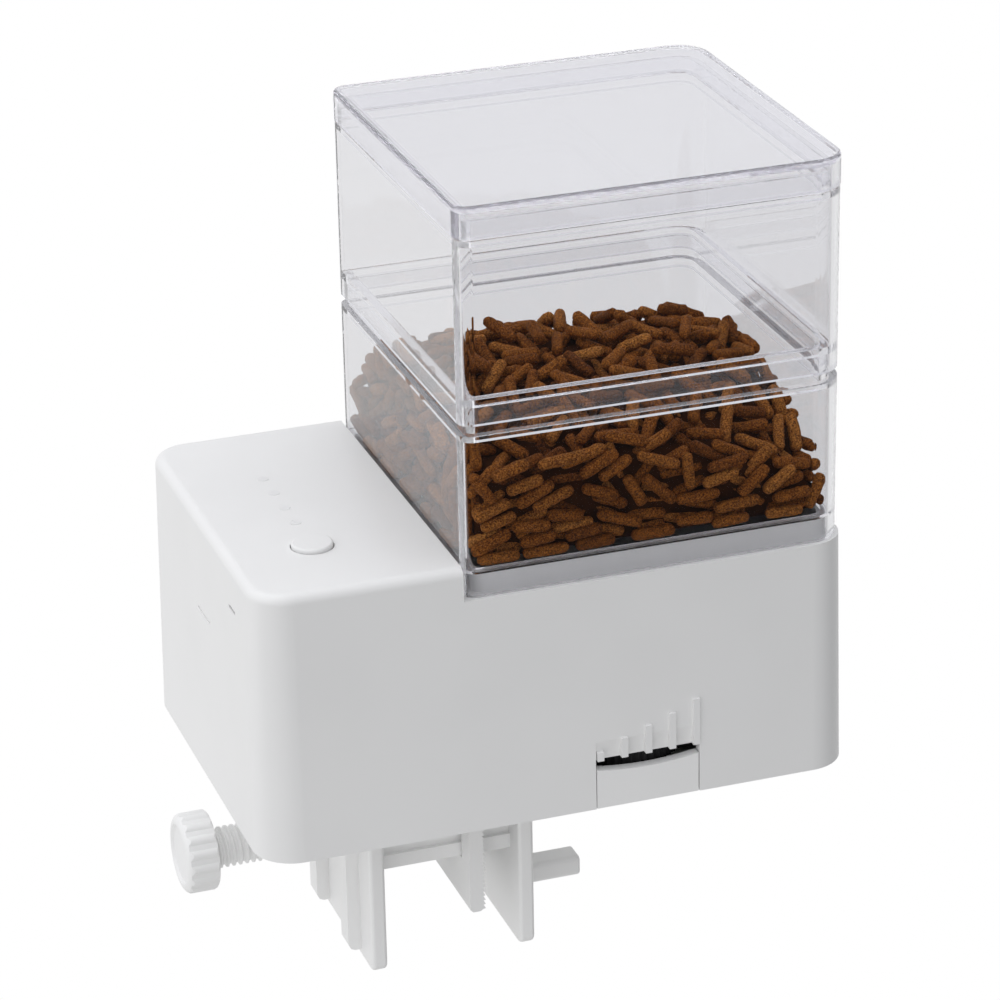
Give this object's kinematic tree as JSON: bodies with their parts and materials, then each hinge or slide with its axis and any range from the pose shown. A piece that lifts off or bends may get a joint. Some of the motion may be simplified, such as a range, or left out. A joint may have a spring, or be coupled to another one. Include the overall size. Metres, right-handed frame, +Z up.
{
  "type": "automatic fish feeder",
  "caption": "White L-shaped tank-top fish feeder with a clear stacked food hopper, portion wheel, feed button and screw clamp below.",
  "frame": {"origin": "a point on the fixed jaw's gripping face, on the clamp's centre line, at the height of the clamp screw's axis", "axes": "+X to the right across the front, +Y from the front to the back, +Z up"},
  "size_m": [0.1319, 0.0842, 0.1702],
  "materials": {
    "white_abs": "glossy injection-moulded white ABS",
    "cover_abs": "satin injection-moulded white ABS",
    "clamp_abs": "satin white ABS",
    "knob_abs": "satin white ABS",
    "clear_ps": "clear polished polystyrene with a faint lavender tint",
    "button_abs": "glossy white ABS",
    "lens": "milky translucent plastic",
    "black_abs": "knurled matt black ABS",
    "natural_pom": "natural acetal",
    "funnel_abs": "satin white ABS",
    "steel": "zinc-plated steel",
    "nickel": "nickel-plated spring steel",
    "pcb": "green solder mask",
    "chip": "black epoxy",
    "cell": "plain wrapped cell"
  },
  "bodies": {
    "housing": {"housing_shell": "white_abs", "bottom_cover": "cover_abs", "cover_screws": "steel", "clamp_bracket": "clamp_abs", "bracket_screws": "steel", "feed_funnel": "funnel_abs", "drum_cap": "funnel_abs", "gear_motor": "steel", "motor_strap": "cover_abs", "strap_screws": "steel", "wheel_clip": "nickel", "button_spring": "nickel", "indicator_lenses": "lens", "control_board": "pcb", "board_chips": "chip", "tact_switch": "chip", "board_screws": "steel", "battery_tray": "cover_abs", "battery_cells": "cell", "tray_contacts": "nickel"},
    "lower_bin": {"lower_bin": "clear_ps"},
    "extension_ring": {"extension_ring": "clear_ps"},
    "lid": {"lid": "clear_ps"},
    "moving_jaw": {"moving_jaw": "clamp_abs"},
    "clamp_screw": {"clamp_screw": "knob_abs", "clamp_knob": "knob_abs", "screw_ring": "nickel"},
    "rotor": {"dosing_rotor": "natural_pom", "rotor_gear": "natural_pom"},
    "pinion": {"motor_pinion": "natural_pom", "motor_shaft": "steel"},
    "quantity_wheel": {"quantity_wheel": "black_abs"},
    "quantity_gate": {"quantity_gate": "natural_pom"},
    "feed_button": {"feed_button": "button_abs"},
    "battery_door": {"battery_door": "cover_abs", "door_contact": "nickel"}
  },
  "joints": [
    {"name": "bin_lift", "type": "slide", "parent": "housing", "child": "lower_bin", "axis": [0, 0, 1], "range_m": [0, 0.02]},
    {"name": "ring_lift", "type": "slide", "parent": "lower_bin", "child": "extension_ring", "axis": [0, 0, 1], "range_m": [0, 0.02]},
    {"name": "lid_lift", "type": "slide", "parent": "extension_ring", "child": "lid", "axis": [0, 0, 1], "range_m": [0, 0.02]},
    {"name": "clamp_screw_turn", "type": "hinge", "parent": "moving_jaw", "child": "clamp_screw", "pos_m": [-0.0493, 0, 0], "axis": [1, 0, 0], "range_deg": [-2058, 1672]},
    {"name": "jaw_slide", "type": "slide", "parent": "housing", "child": "moving_jaw", "axis": [1, 0, 0], "range_m": [-0.008, 0.0065]},
    {"name": "rotor_spin", "type": "hinge", "parent": "housing", "child": "rotor", "pos_m": [0.0207, 0, 0.0368], "axis": [1, 0, 0], "continuous": true},
    {"name": "pinion_spin", "type": "hinge", "parent": "housing", "child": "pinion", "pos_m": [0.0027, -0.0168, 0.0368], "axis": [1, 0, 0], "continuous": true},
    {"name": "quantity_turn", "type": "hinge", "parent": "housing", "child": "quantity_wheel", "pos_m": [0.021, -0.0266, 0.0248], "axis": [0, 0, 1], "range_deg": [-47.7, 47.7]},
    {"name": "gate_slide", "type": "slide", "parent": "housing", "child": "quantity_gate", "axis": [0, 1, 0], "range_m": [-0.005, 0.005]},
    {"name": "button_press", "type": "slide", "parent": "housing", "child": "feed_button", "axis": [0, 0, 1], "range_m": [-0.0007, 0], "stiffness_N_per_m": 400, "springref_m": 0.001, "deforming": ["button_spring"]},
    {"name": "battery_door_hinge", "type": "hinge", "parent": "housing", "child": "battery_door", "pos_m": [-0.0348, 0.0403, 0.024], "axis": [-1, 0, 0], "range_deg": [0, 100]}
  ],
  "couplings": [
    {"joint": "clamp_screw_turn", "follows": "jaw_slide", "rad_per_m": 4488},
    {"joint": "pinion_spin", "follows": "rotor_spin", "ratio": -3},
    {"joint": "gate_slide", "follows": "quantity_turn", "m_per_rad": 0.006}
  ]
}
